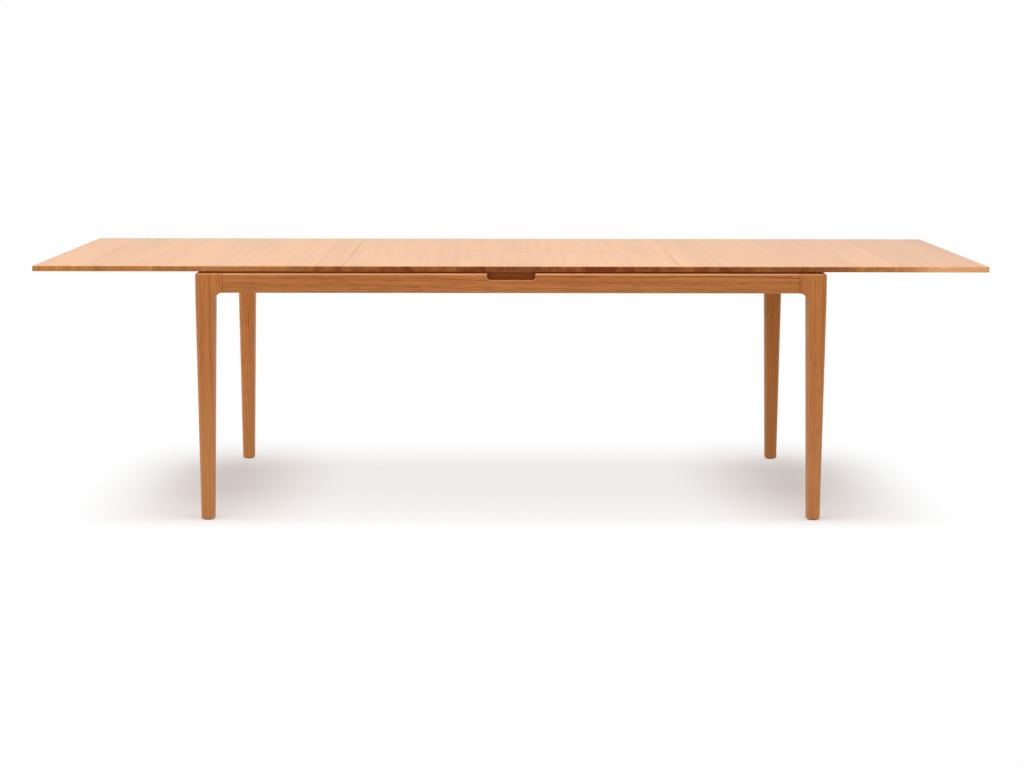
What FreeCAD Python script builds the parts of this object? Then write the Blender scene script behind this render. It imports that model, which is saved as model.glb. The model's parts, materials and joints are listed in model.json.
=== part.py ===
import FreeCAD, Part
import math
import os

# An extending dining table, drawn extended with its butterfly leaf in place.
# Millimetres, +X along the length, +Y to the back, +Z up, origin on the floor under the middle.

V = FreeCAD.Vector
X_WAY = V(1, 0, 0)
Y_WAY = V(0, 1, 0)
Z_WAY = V(0, 0, 1)

# Overall sizes
table_height = 762.0
top_width = 1016.0
closed_length = 1830.0
leaf_length = 1000.0
top_thickness = 17.0
frame_side_proud = 10.0
frame_end_proud = 18.5
frame_gap = 4.0

# Fits and shared cuts
overrun = 2.0
seam_gap = 0.4
slide_room = 0.3
joint_room = 0.05
seat_room = 0.1

# Top panels and leaf panels
top_corner_round = 6.0
top_upper_round = 4.0
top_lower_round = 2.0
seam_ease = 0.8
fold_axis_rise = 0.25

# Legs and their floor glides
leg_top_size = 58.0
leg_foot_size = 39.5
leg_corner_round = 12.0
leg_foot_round_share = 0.28
leg_foot_edge = 2.5
shoulder_size = 23.5
glide_radius = 15.0
glide_height = 3.0
glide_edge = 1.0

# Aprons, their tenons and the finger notch
apron_thickness = 22.0
apron_height = 58.0
frame_edge_round = 7.0
apron_lower_round = 1.5
joint_ease = 0.6
tenon_thickness = 10.0
tenon_length = 42.0
tenon_height_share = 0.6
notch_width = 142.0
notch_depth = 20.0
notch_corner_round = 10.0
notch_edge_round = 2.5

# Slide rails on the aprons, runners under the tops
rail_thickness = 24.0
rail_gap = 1.5
finger_recess_depth = 10.0
runner_width = 24.0
runner_height = 28.0
tongue_depth = 8.0
tongue_neck = 8.0
tongue_flare = 2.0
tongue_drop = 17.0
runner_inset = 2.0
release_travel = 30.0
bumper_radius = 3.5
bumper_length = 4.0

# Cross rails at the ends of the leaf well
cross_rail_thickness = 22.0
cross_rail_top_room = 3.0
cross_rail_stub = 8.0
well_end_room = 9.0

# Equaliser gears
gear_module = 3.0
gear_teeth = 20
gear_pressure_angle = 20.0
gear_root_share = 1.25
gear_backlash = 0.3
gear_place_share = 0.59
gear_face = 10.0
flank_points = 5
axle_radius = 6.0
axle_head_radius = 11.0
axle_head_height = 3.0
axle_sink = 14.0
rack_back = 8.0
rack_lead = 60.0
rack_block_length = 100.0
rack_block_width = 30.0
rack_block_start = 90.0
bearer_thickness = 20.0
bearer_side = 18.0
guide_length = 120.0
guide_wall = 12.0
guide_lip = 5.0
guide_cap = 5.0

# Swing arms that carry the folded leaf down
arm_lean = 25.0
arm_swing = 108.0
stow_room = 4.65
arm_place_shares = (0.3, 0.7)
pivot_drop = 10.0
arm_thickness = 6.0
arm_end_inset = 27.0
arm_hub_radius = 11.0
arm_eye_radius = 8.5
arm_shaft_radius = 6.0
pivot_pin_radius = 4.0
pivot_head_radius = 6.5
pivot_head_height = 2.5
plate_thickness = 3.0
plate_margin = 22.0
plate_foot = 12.0
plate_boss_radius = 10.0
plate_boss_length = 5.0
bracket_thickness = 3.0
bracket_flange = 18.0
bracket_margin = 22.0
bracket_ear_radius = 9.0

# Concealed hinges between the leaf halves
hinge_length = 52.0
hinge_height = 12.0
hinge_depth = 14.0
hinge_place_shares = (-0.7, 0.0, 0.7)
link_width = 3.6
link_pitch = 5.0
link_thickness = 3.0
link_turn = 45.0
link_root_turn = 35.0
link_room = 0.3
link_stations = (-3, -2, -1, 0, 1, 2, 3)

# Rest pads and screws
pad_radius = 7.0
rail_pad_place_shares = (-0.8, -0.52, -0.2, 0.2, 0.52, 0.8)
end_pad_place_shares = (-0.6, 0.6)
screw_head_radius = 4.0
screw_head_height = 2.5
screw_radius = 2.0
rail_screw_length = 38.0
runner_screw_length = 40.0
block_screw_length = 44.0
plate_screw_length = 16.0
bracket_screw_length = 15.0
cross_screw_length = 48.0
rail_screw_rise = 18.0
rail_screw_place_shares = (-0.9, -0.45, 0.12, 0.45, 0.9)
end_inset_share = 0.18

# Levels, from the top surface down
top_under = table_height - top_thickness
frame_top = top_under - frame_gap
rail_top = top_under - rail_gap
apron_bottom = frame_top - apron_height
shoulder_bottom = apron_bottom - shoulder_size
runner_bottom = top_under - runner_height
cross_rail_top = runner_bottom - cross_rail_top_room
rack_bottom = cross_rail_top + slide_room
rack_top = rack_bottom + gear_face
tongue_level = top_under - tongue_drop
fold_axis_level = table_height + fold_axis_rise

# Places along X
leaf_half = leaf_length / 2
leaf_end = leaf_half - seam_gap / 2
top_inner = leaf_half + seam_gap / 2
top_outer = (closed_length + leaf_length) / 2
close_stroke = leaf_half
frame_half_x = closed_length / 2 + frame_end_proud
leg_inner_x = frame_half_x - leg_top_size
leg_mid_x = frame_half_x - leg_top_size / 2
apron_end_x = leg_inner_x - shoulder_size
runner_start = top_inner + runner_inset
runner_end = leg_inner_x - bumper_length - release_travel
cross_rail_inner = leaf_half + well_end_room
cross_rail_outer = cross_rail_inner + cross_rail_thickness
plate_inner = cross_rail_inner - plate_thickness
arm_outer_x = leaf_half - arm_end_inset
arm_inner_x = arm_outer_x - arm_thickness
cheek_inner_x = arm_outer_x + slide_room
cheek_outer_x = cheek_inner_x + bracket_thickness

# Places along Y
top_half_y = top_width / 2
frame_half_y = top_half_y + frame_side_proud
leg_inner_y = frame_half_y - leg_top_size
leg_mid_y = frame_half_y - leg_top_size / 2
apron_end_y = leg_inner_y - shoulder_size
apron_inner_y = frame_half_y - apron_thickness
rail_inner_y = apron_inner_y - rail_thickness
runner_outer_y = rail_inner_y - slide_room
runner_inner_y = runner_outer_y - runner_width
gear_y = -gear_place_share * top_half_y

# Gear sizes
gear_radius = gear_module * gear_teeth / 2
gear_tip = gear_radius + gear_module
gear_root = gear_radius - gear_root_share * gear_module
gear_pitch = math.pi * gear_module
pressure = math.radians(gear_pressure_angle)
rack_root_y = gear_y + gear_radius + gear_root_share * gear_module
rack_back_y = rack_root_y + rack_back

# Swing arm sizes: the arm is as long as the folded pair needs to drop
stow_drop = 2 * top_thickness + 2 * fold_axis_rise + stow_room
lean = math.radians(arm_lean)
swing = math.radians(arm_swing)
arm_length = stow_drop / (math.cos(lean) - math.cos(swing - lean))
pivot_level = top_under - pivot_drop
shaft_level = pivot_level - arm_length * math.cos(lean)
pivot_places = [share * top_half_y for share in arm_place_shares]
shaft_places = [place - arm_length * math.sin(lean) for place in pivot_places]


def box(x0, x1, y0, y1, z0, z1):
    """A block between two corners."""
    return Part.makeBox(x1 - x0, y1 - y0, z1 - z0, V(x0, y0, z0))


def rod(radius, start, way, length):
    return Part.makeCylinder(radius, length, start, way)


def mirror_x(shape):
    return shape.mirror(V(0, 0, 0), X_WAY)


def mirror_y(shape):
    return shape.mirror(V(0, 0, 0), Y_WAY)


def prism(points, way):
    """A straight-sided outline, pushed out along a vector."""
    outline = Part.makePolygon(points + points[:1])
    return Part.Face(outline).extrude(way)


def edges_where(shape, test):
    """The edges whose middle point passes the test."""
    found = []
    for edge in shape.Edges:
        middle = edge.valueAt((edge.FirstParameter + edge.LastParameter) / 2)
        if test(middle):
            found.append(edge)
    return found


def near(value, target):
    return abs(value - target) < joint_room


def rounded_square(size, radius, centre_x, centre_y, level):
    """A closed outline of four sides and four corner arcs."""
    half = size / 2
    straight = half - radius
    diagonal = straight + radius * math.sqrt(0.5)

    def place(u, v, c, s):
        return V(centre_x + c * u - s * v, centre_y + s * u + c * v, level)

    edges = []
    for c, s in ((1, 0), (0, 1), (-1, 0), (0, -1)):
        start = place(half, straight, c, s)
        side = Part.LineSegment(place(half, -straight, c, s), start)
        corner = Part.Arc(start, place(diagonal, diagonal, c, s), place(straight, half, c, s))
        edges += [side.toShape(), corner.toShape()]
    return Part.Wire(edges)


def screw(at, way, length, room=0.0):
    """A flat-headed screw, or with some room the hole that it goes into."""
    start = at - way * (overrun if room else 0)
    sunk = screw_head_height + (overrun if room else 0)
    head = rod(screw_head_radius + room, start, way, sunk)
    shank = rod(screw_radius + room, at, way, length + room)
    return head.fuse(shank).removeSplitter()


def with_holes(shape, screws):
    """A piece with a hole for each screw, given as place, direction and length."""
    return shape.cut([screw(at, way, length, joint_room) for at, way, length in screws])


def screw_group(screws):
    return Part.makeCompound([screw(at, way, length) for at, way, length in screws])


# Legs

def tenon_z():
    """The lower and upper level of the apron tenons."""
    middle = (frame_top + apron_bottom) / 2
    half = apron_height * tenon_height_share / 2
    return middle - half, middle + half


def tenon_x(room=0.0):
    """The tenon of a long apron in the back right leg, or its mortise."""
    low, high = tenon_z()
    middle = frame_half_y - apron_thickness / 2
    half = tenon_thickness / 2 + room
    return box(apron_end_x, apron_end_x + tenon_length + room, middle - half, middle + half,
               low - room, high + room)


def tenon_y(room=0.0):
    """The tenon of an end apron in the back right leg, or its mortise."""
    low, high = tenon_z()
    middle = frame_half_x - apron_thickness / 2
    half = tenon_thickness / 2 + room
    return box(middle - half, middle + half, apron_end_y, apron_end_y + tenon_length + room,
               low - room, high + room)


def shoulder_x():
    """The stub towards the long apron, with the hollow curve under it."""
    stub = box(apron_end_x, leg_mid_x, apron_inner_y, frame_half_y, apron_bottom, frame_top)
    under = box(apron_end_x, leg_mid_x, apron_inner_y, frame_half_y, shoulder_bottom, apron_bottom)
    hollow = rod(shoulder_size, V(apron_end_x, apron_inner_y - overrun, shoulder_bottom), Y_WAY,
                 apron_thickness + 2 * overrun)
    return stub.fuse(under.cut(hollow))


def shoulder_y():
    """The stub towards the end apron, with the hollow curve under it."""
    inner_x = frame_half_x - apron_thickness
    stub = box(inner_x, frame_half_x, apron_end_y, leg_mid_y, apron_bottom, frame_top)
    under = box(inner_x, frame_half_x, apron_end_y, leg_mid_y, shoulder_bottom, apron_bottom)
    hollow = rod(shoulder_size, V(inner_x - overrun, apron_end_y, shoulder_bottom), X_WAY,
                 apron_thickness + 2 * overrun)
    return stub.fuse(under.cut(hollow))


def corner_outline():
    """The frame's outer corner in plan, round at the leg, from the floor to the frame's top."""
    size = 2 * leg_top_size
    outline = rounded_square(size, leg_corner_round, frame_half_x - leg_top_size,
                             frame_half_y - leg_top_size, 0)
    return Part.Face(outline).extrude(Z_WAY * table_height)


def on_long_joint(middle):
    """Whether an edge is an outer one where a long apron meets a leg."""
    return near(abs(middle.x), apron_end_x) and middle.y > frame_half_y - frame_edge_round


def on_end_joint(middle):
    """Whether an edge is an outer one where an end apron meets a leg."""
    return near(abs(middle.y), apron_end_y) and middle.x > frame_half_x - frame_edge_round


def back_right_leg():
    foot = rounded_square(leg_foot_size, leg_foot_size * leg_foot_round_share, leg_mid_x, leg_mid_y,
                          glide_height)
    knee = rounded_square(leg_top_size, leg_corner_round, leg_mid_x, leg_mid_y, shoulder_bottom)
    shin = Part.makeLoft([foot, knee], True, True)
    shin = shin.makeFillet(leg_foot_edge, edges_where(shin, lambda m: near(m.z, glide_height)))
    post = Part.Face(knee).extrude(Z_WAY * (frame_top - shoulder_bottom))
    leg = shin.fuse([post, shoulder_x(), shoulder_y()]).common(corner_outline()).removeSplitter()

    def on_outer_rim(middle):
        inside_x = middle.x < frame_half_x - leg_corner_round
        inside_y = middle.y < frame_half_y - leg_corner_round
        outer = near(middle.x, frame_half_x) or near(middle.y, frame_half_y)
        return near(middle.z, frame_top) and (outer or not (inside_x or inside_y))

    leg = leg.makeFillet(frame_edge_round, edges_where(leg, on_outer_rim))
    leg = leg.makeChamfer(joint_ease, edges_where(leg, on_long_joint))
    leg = leg.makeChamfer(joint_ease, edges_where(leg, on_end_joint))
    return leg.cut([tenon_x(seat_room), tenon_y(seat_room)])


def glide():
    """A floor glide with an eased lower rim."""
    disc = rod(glide_radius, V(leg_mid_x, leg_mid_y, 0), Z_WAY, glide_height)
    return disc.makeFillet(glide_edge, edges_where(disc, lambda middle: near(middle.z, 0)))


# Aprons

def round_apron(apron, outer):
    """Round an apron's outer upper edge and ease its outer lower edge."""
    upper = edges_where(apron, lambda m: near(m.z, frame_top) and outer(m))
    apron = apron.makeFillet(frame_edge_round, upper)
    lower = edges_where(apron, lambda m: near(m.z, apron_bottom) and outer(m))
    return apron.makeFillet(apron_lower_round, lower)


def long_apron():
    """The back apron, with a tenon at each end."""
    board = box(-apron_end_x, apron_end_x, apron_inner_y, frame_half_y, apron_bottom, frame_top)
    board = round_apron(board, lambda middle: near(middle.y, frame_half_y))
    board = board.makeChamfer(joint_ease, edges_where(board, on_long_joint))
    return board.fuse([tenon_x(), mirror_x(tenon_x())])


def end_apron():
    """The right end apron, with a tenon at each end."""
    inner_x = frame_half_x - apron_thickness
    board = box(inner_x, frame_half_x, -apron_end_y, apron_end_y, apron_bottom, frame_top)
    board = round_apron(board, lambda middle: near(middle.x, frame_half_x))
    board = board.makeChamfer(joint_ease, edges_where(board, on_end_joint))
    return board.fuse([tenon_y(), mirror_y(tenon_y())])


def notch_cut(y0, y1):
    """The finger notch's outline, flat-bottomed with round lower corners, pushed from y0 to y1."""
    half = notch_width / 2
    floor = frame_top - notch_depth
    flat = half - notch_corner_round
    swell = notch_corner_round * math.sqrt(0.5)
    rim = rail_top + overrun
    corner_level = floor + notch_corner_round
    points = [V(-half, y0, rim), V(-half, y0, corner_level), V(-flat, y0, floor),
              V(flat, y0, floor), V(half, y0, corner_level), V(half, y0, rim)]
    left = Part.Arc(points[1], V(-flat - swell, y0, corner_level - swell), points[2])
    right = Part.Arc(points[3], V(flat + swell, y0, corner_level - swell), points[4])
    edges = [Part.LineSegment(points[0], points[1]), left, Part.LineSegment(points[2], points[3]),
             right, Part.LineSegment(points[4], points[5]), Part.LineSegment(points[5], points[0])]
    outline = Part.Wire([edge.toShape() for edge in edges])
    return Part.Face(outline).extrude(Y_WAY * (y1 - y0))


def front_apron():
    apron = mirror_y(long_apron())
    apron = apron.cut(notch_cut(-frame_half_y - overrun, -apron_inner_y + overrun))
    floor = frame_top - notch_depth

    def on_notch_rim(middle):
        inside = abs(middle.x) < notch_width / 2 + joint_room
        low = middle.z < floor + notch_corner_round - joint_room
        return near(middle.y, -frame_half_y) and inside and low and middle.z > floor - joint_room

    return apron.makeFillet(notch_edge_round, edges_where(apron, on_notch_rim))


# Slide rails and runners

def dovetail(x0, x1, room=0.0):
    """The tongue of a back runner along X, or with some room the groove for it."""
    root = runner_outer_y
    tip = runner_outer_y + tongue_depth + room
    neck = tongue_neck / 2 + room
    wide = neck + tongue_flare
    points = [V(x0, root, tongue_level - neck), V(x0, root, tongue_level + neck),
              V(x0, tip, tongue_level + wide), V(x0, tip, tongue_level - wide)]
    return prism(points, X_WAY * (x1 - x0))


def cross_stub(room=0.0):
    """The end of the right cross rail that is housed in the back rail."""
    return box(cross_rail_inner - room, cross_rail_outer + room, rail_inner_y,
               rail_inner_y + cross_rail_stub + room, apron_bottom, cross_rail_top + room)


def rail_screws():
    """Screws from the back rail into the back apron."""
    level = apron_bottom + rail_screw_rise
    places = [share * leg_inner_x for share in rail_screw_place_shares]
    return [(V(x, rail_inner_y, level), Y_WAY, rail_screw_length) for x in places]


def back_rail():
    rail = box(-leg_inner_x, leg_inner_x, rail_inner_y, apron_inner_y, apron_bottom, rail_top)
    groove = dovetail(-leg_inner_x - overrun, leg_inner_x + overrun, slide_room)
    stub = cross_stub(seat_room)
    return with_holes(rail.cut([groove, stub, mirror_x(stub)]), rail_screws())


def front_rail():
    """The front rail has a recess behind the finger notch."""
    rail = mirror_y(back_rail())
    return rail.cut(notch_cut(-apron_inner_y - overrun, -apron_inner_y + finger_recess_depth))


def long_apron_holes(apron):
    """Pilot holes in the back apron for the rail's screws."""
    return with_holes(apron, rail_screws())


def runner_screws():
    """Screws up through the right back runner into its top."""
    span = runner_end - runner_start
    middle_y = runner_inner_y + runner_width / 2
    inset = span * end_inset_share
    places = (runner_start + inset, runner_start + span / 2, runner_end - inset)
    return [(V(x, middle_y, runner_bottom), Z_WAY, runner_screw_length) for x in places]


def back_runner():
    """The runner at the back of the right top."""
    bar = box(runner_start, runner_end, runner_inner_y, runner_outer_y, runner_bottom, top_under)
    return with_holes(bar.fuse(dovetail(runner_start, runner_end)), runner_screws())


def bumper():
    """The stop at the end of the back rail's groove, on the leg, for the right runner's tongue."""
    place = V(leg_inner_x, runner_outer_y + tongue_depth / 2, tongue_level)
    return rod(bumper_radius, place, -X_WAY, bumper_length)


def rail_pads():
    """Pads on both rails that the leaf and the tops lie on."""
    pads = []
    height = rail_gap - seat_room
    for share in rail_pad_place_shares:
        for side in (-1, 1):
            middle_y = side * (rail_inner_y + rail_thickness / 2)
            pads.append(rod(pad_radius, V(share * leg_inner_x, middle_y, rail_top), Z_WAY, height))
    return Part.makeCompound(pads)


def end_pads():
    """Pads on both end aprons that the tops slide over."""
    pads = []
    height = frame_gap - seat_room
    middle_x = frame_half_x - (apron_thickness + frame_edge_round) / 2
    for share in end_pad_place_shares:
        for side in (-1, 1):
            place = V(side * middle_x, share * apron_end_y, frame_top)
            pads.append(rod(pad_radius, place, Z_WAY, height))
    return Part.makeCompound(pads)


# Top halves and leaf halves

def top_panel(rack_screws):
    """The right top, with screw holes for its runners and for its rack's block."""
    panel = box(top_inner, top_outer, -top_half_y, top_half_y, top_under, table_height)
    upright = edges_where(panel, lambda m: near(m.x, top_outer) and near(abs(m.y), top_half_y))
    panel = panel.makeFillet(top_corner_round, upright)
    for level, radius in ((table_height, top_upper_round), (top_under, top_lower_round)):
        rim = edges_where(panel, lambda m: near(m.z, level) and m.x > top_inner + seam_ease)
        panel = panel.makeFillet(radius, rim)
    seam = edges_where(panel, lambda m: near(m.z, table_height) and near(m.x, top_inner))
    panel = panel.makeChamfer(seam_ease, seam)
    return with_holes(panel, runner_screws() + mirrored_screws(runner_screws()) + rack_screws)


def mirrored_screws(screws):
    """The same screws on the front side."""
    return [(V(at.x, -at.y, at.z), way, length) for at, way, length in screws]


def leaf_panel():
    """The back half of the leaf, bare."""
    inner_y = seam_gap / 2
    panel = box(-leaf_end, leaf_end, inner_y, top_half_y, top_under, table_height)
    for level, radius in ((table_height, top_upper_round), (top_under, top_lower_round)):
        rim = edges_where(panel, lambda m: near(m.z, level) and near(m.y, top_half_y))
        panel = panel.makeFillet(radius, rim)

    def on_seam(middle):
        side = near(abs(middle.x), leaf_end) or near(middle.y, inner_y)
        return near(middle.z, table_height) and side

    panel = panel.makeChamfer(seam_ease, edges_where(panel, on_seam))
    return panel.cut([hinge_body(place, seat_room) for place in hinge_places()])


# Concealed hinges: links on an arc about the fold axis, so that they slide out as the leaf folds

def hinge_places():
    return [share * leaf_half for share in hinge_place_shares]


def hinge_level():
    return table_height - top_thickness / 2


def hinge_body(place, room=0.0):
    """The round-ended cup in the back half's seam edge, or its mortise."""
    start_y = seam_gap / 2
    radius = hinge_height / 2 + room
    reach = hinge_length / 2 - hinge_height / 2
    depth = hinge_depth + room
    level = hinge_level()
    middle = box(place - reach, place + reach, start_y, start_y + depth, level - radius, level + radius)
    ends = [rod(radius, V(place + side * reach, start_y, level), Y_WAY, depth) for side in (-1, 1)]
    return middle.fuse(ends).removeSplitter()


def link_arc(place, first_turn, last_turn, room=0.0):
    """A link: a band about the fold axis, with turns counted from straight down towards +Y."""
    radius = fold_axis_level - hinge_level()
    inner = radius - link_thickness / 2 - room
    outer = radius + link_thickness / 2 + room
    half = link_width / 2 + room

    def at(distance, turn):
        angle = math.radians(turn)
        return V(place - half, distance * math.sin(angle), fold_axis_level - distance * math.cos(angle))

    middle_turn = (first_turn + last_turn) / 2
    edges = [Part.Arc(at(inner, first_turn), at(inner, middle_turn), at(inner, last_turn)),
             Part.LineSegment(at(inner, last_turn), at(outer, last_turn)),
             Part.Arc(at(outer, last_turn), at(outer, middle_turn), at(outer, first_turn)),
             Part.LineSegment(at(outer, first_turn), at(inner, first_turn))]
    outline = Part.Wire([edge.toShape() for edge in edges])
    return Part.Face(outline).extrude(X_WAY * (2 * half))


def hinge_cup(place, own_parity):
    """One cup in the back half: its own links reach out, slots take the other cup's links."""
    cup = hinge_body(place)
    for station in link_stations:
        link_place = place + station * link_pitch
        if station % 2 == own_parity:
            cup = cup.fuse(link_arc(link_place, -link_turn, link_root_turn))
        else:
            slot_turn = link_turn + math.degrees(link_room / (fold_axis_level - hinge_level()))
            cup = cup.cut(link_arc(link_place, -link_root_turn, slot_turn, link_room))
    return cup


def hinge_cups(own_parity):
    return [hinge_cup(place, own_parity) for place in hinge_places()]


# Equaliser

def rack_tooth_span():
    """From the rack's inner end to the last tooth that the closing stroke brings to the pinion."""
    return -rack_lead, close_stroke + rack_lead


def right_rack():
    """The rack of the right top, behind the pinion, with a tooth at the middle of the table."""
    start, last = rack_tooth_span()
    end = close_stroke + rack_block_start + rack_block_length
    tip_y = gear_y + gear_radius - gear_module
    half = gear_pitch / 4 - gear_backlash / 4
    half_tip = half - gear_module * math.tan(pressure)
    half_root = half + gear_root_share * gear_module * math.tan(pressure)
    points = [V(start, rack_back_y, rack_bottom), V(start, rack_root_y, rack_bottom)]
    first = math.ceil((start + half_root) / gear_pitch)
    for tooth in range(first, math.floor(last / gear_pitch)):
        middle = tooth * gear_pitch
        for side in (-1, 1):
            root = V(middle + side * half_root, rack_root_y, rack_bottom)
            tip = V(middle + side * half_tip, tip_y, rack_bottom)
            points += (root, tip)[::-side]
    points += [V(end, rack_root_y, rack_bottom), V(end, rack_back_y, rack_bottom)]
    return with_holes(prism(points, Z_WAY * gear_face), block_screws())


def block_screws():
    """Screws up through the right rack and its block into the right top."""
    first = close_stroke + rack_block_start + rack_block_length * end_inset_share
    second = close_stroke + rack_block_start + rack_block_length * (1 - end_inset_share)
    middle_y = (rack_root_y + rack_back_y) / 2
    return [(V(x, middle_y, rack_bottom), Z_WAY, block_screw_length) for x in (first, second)]


def across_pinion(screws):
    """The same screws in front of the pinion."""
    return [(V(at.x, 2 * gear_y - at.y, at.z), way, length) for at, way, length in screws]


def right_rack_block():
    """The block that hangs the right rack from the right top."""
    start = close_stroke + rack_block_start
    middle_y = (rack_root_y + rack_back_y) / 2
    block = box(start, start + rack_block_length, middle_y - rack_block_width / 2,
                middle_y + rack_block_width / 2, rack_top, top_under)
    return with_holes(block, block_screws())


def same_place(shape):
    return shape


def half_turn(shape):
    """The same piece on the other side of the pinion."""
    copy = shape.copy()
    copy.rotate(V(0, gear_y, 0), Z_WAY, 180)
    return copy


def flank(side, middle_turn):
    """One involute flank of a pinion tooth, from the base circle out to the tip."""
    base = gear_radius * math.cos(pressure)
    involute_at_pitch = math.tan(pressure) - pressure
    half_angle = (gear_pitch / 2 - gear_backlash / 2) / (2 * gear_radius)
    points = []
    for step in range(flank_points):
        radius = base + (gear_tip - base) * step / (flank_points - 1)
        angle = math.acos(base / radius)
        spread = half_angle + involute_at_pitch - (math.tan(angle) - angle)
        turn = middle_turn + side * spread
        points.append(V(radius * math.cos(turn), gear_y + radius * math.sin(turn), rack_bottom))
    return points


def on_circle(radius, turn):
    return V(radius * math.cos(turn), gear_y + radius * math.sin(turn), rack_bottom)


def drive_pinion():
    """The pinion, with a space between teeth towards each rack."""
    step = 2 * math.pi / gear_teeth
    base = gear_radius * math.cos(pressure)
    half_angle = (gear_pitch / 2 - gear_backlash / 2) / (2 * gear_radius)
    half_base = half_angle + math.tan(pressure) - pressure
    edges = []
    for tooth in range(gear_teeth):
        middle = (tooth + 0.5) * step
        rising = flank(-1, middle)
        falling = flank(1, middle)[::-1]
        edges.append(Part.LineSegment(on_circle(gear_root, middle - half_base), rising[0]).toShape())
        for points in (rising, falling):
            curve = Part.BSplineCurve()
            curve.interpolate(points)
            if points is falling:
                tip = Part.Arc(rising[-1], on_circle(gear_tip, middle), falling[0])
                edges.append(tip.toShape())
            edges.append(curve.toShape())
        edges.append(Part.LineSegment(falling[-1], on_circle(gear_root, middle + half_base)).toShape())
        valley = Part.Arc(on_circle(gear_root, middle + half_base), on_circle(gear_root, middle + step / 2),
                          on_circle(gear_root, middle + step - half_base))
        edges.append(valley.toShape())
    wheel = Part.Face(Part.Wire(edges)).extrude(Z_WAY * gear_face)
    bore = rod(axle_radius + joint_room, V(0, gear_y, rack_bottom - overrun), Z_WAY,
               gear_face + 2 * overrun)
    return wheel.cut(bore)


def pinion_axle():
    """A headed pin that stands in the bearer."""
    pin_top = rack_top + slide_room
    pin_foot = cross_rail_top - axle_sink
    pin = rod(axle_radius, V(0, gear_y, pin_foot), Z_WAY, pin_top - pin_foot)
    return pin.fuse(rod(axle_head_radius, V(0, gear_y, pin_top), Z_WAY, axle_head_height))


def bearer_half_width():
    return rack_back_y - gear_y + slide_room + bearer_side


def gear_bearer():
    """The board between the cross rails that carries the pinion and the racks."""
    half = bearer_half_width()
    board = box(-cross_rail_inner, cross_rail_inner, gear_y - half, gear_y + half,
                cross_rail_top - bearer_thickness, cross_rail_top)
    hole = rod(axle_radius + joint_room, V(0, gear_y, cross_rail_top - axle_sink - joint_room), Z_WAY,
               axle_sink + overrun)
    screws = guide_screws() + bearer_screws() + [turned_screw(one) for one in guide_screws()]
    screws += [turned_screw(one) for one in bearer_screws()]
    return with_holes(board.cut(hole), screws)


def turned_screw(one):
    """The same screw on the other side of the pinion."""
    at, way, length = one
    return V(-at.x, 2 * gear_y - at.y, at.z), V(-way.x, -way.y, way.z), length


def guide_middle_y():
    return rack_back_y + slide_room + guide_wall / 2


def guide_screws():
    level = rack_top + slide_room + guide_cap
    reach = guide_length / 2 - guide_length * end_inset_share
    length = level - cross_rail_top + bearer_thickness / 2
    return [(V(side * reach, guide_middle_y(), level), -Z_WAY, length) for side in (-1, 1)]


def back_rack_guide():
    """The guide that keeps the right rack in mesh and down on the bearer."""
    wall_y = rack_back_y + slide_room
    under = rack_top + slide_room
    half = guide_length / 2
    wall = box(-half, half, wall_y, wall_y + guide_wall, cross_rail_top, under + guide_cap)
    lip = box(-half, half, wall_y - guide_lip, wall_y, under, under + guide_cap)
    return with_holes(wall.fuse(lip), guide_screws())


def bearer_screws():
    """Screws from the right cross rail into the end of the bearer."""
    level = cross_rail_top - bearer_thickness / 2
    reach = bearer_half_width() - bearer_side
    return [(V(cross_rail_outer, gear_y + side * reach, level), -X_WAY, cross_screw_length)
            for side in (-1, 1)]


def right_cross_rail():
    end_y = rail_inner_y
    board = box(cross_rail_inner, cross_rail_outer, -end_y, end_y, apron_bottom, cross_rail_top)
    board = board.fuse([cross_stub(), mirror_y(cross_stub())])
    return with_holes(board, bearer_screws() + plate_screws())


# Swing arms

def link_plate(first, first_radius, second, second_radius, x0, x1):
    """A flat bar with round ends of two sizes, its sides tangent to both, given in Y and Z."""
    run = second - first
    span = run.Length
    along = run / span
    across = V(0, -along.z, along.y)
    tilt = (first_radius - second_radius) / span
    level = math.sqrt(1 - tilt * tilt)
    left = along * tilt + across * level
    right = along * tilt - across * level
    shift = V(x0, 0, 0)
    corners = [first + left * first_radius, second + left * second_radius,
               second + right * second_radius, first + right * first_radius]
    corners = [corner + shift for corner in corners]
    edges = [Part.LineSegment(corners[0], corners[1]),
             Part.Arc(corners[1], second + along * second_radius + shift, corners[2]),
             Part.LineSegment(corners[2], corners[3]),
             Part.Arc(corners[3], first - along * first_radius + shift, corners[0])]
    outline = Part.Wire([edge.toShape() for edge in edges])
    return Part.Face(outline).extrude(X_WAY * (x1 - x0))


def right_arm(shaft_y, pivot_y):
    """One swing arm, from its shaft up to the pivot under the leaf."""
    bar = link_plate(V(0, shaft_y, shaft_level), arm_hub_radius, V(0, pivot_y, pivot_level), arm_eye_radius,
                     arm_inner_x, arm_outer_x)
    start = arm_inner_x - overrun
    reach = arm_thickness + 2 * overrun
    hub = rod(arm_shaft_radius + joint_room, V(start, shaft_y, shaft_level), X_WAY, reach)
    eye = rod(pivot_pin_radius + joint_room, V(start, pivot_y, pivot_level), X_WAY, reach)
    return bar.cut([hub, eye])


def arm_shaft(shaft_y):
    reach = cross_rail_inner - joint_room
    return rod(arm_shaft_radius, V(-reach, shaft_y, shaft_level), X_WAY, 2 * reach)


def plate_screws():
    """Screws from the right bearing plate into the right cross rail."""
    places = [y + side * plate_margin / 2 for y, side in zip(shaft_places, (-1, 1))]
    places.append(sum(shaft_places) / 2)
    level = (apron_bottom + cross_rail_top) / 2
    return [(V(plate_inner, y, level), X_WAY, plate_screw_length) for y in places]


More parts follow.
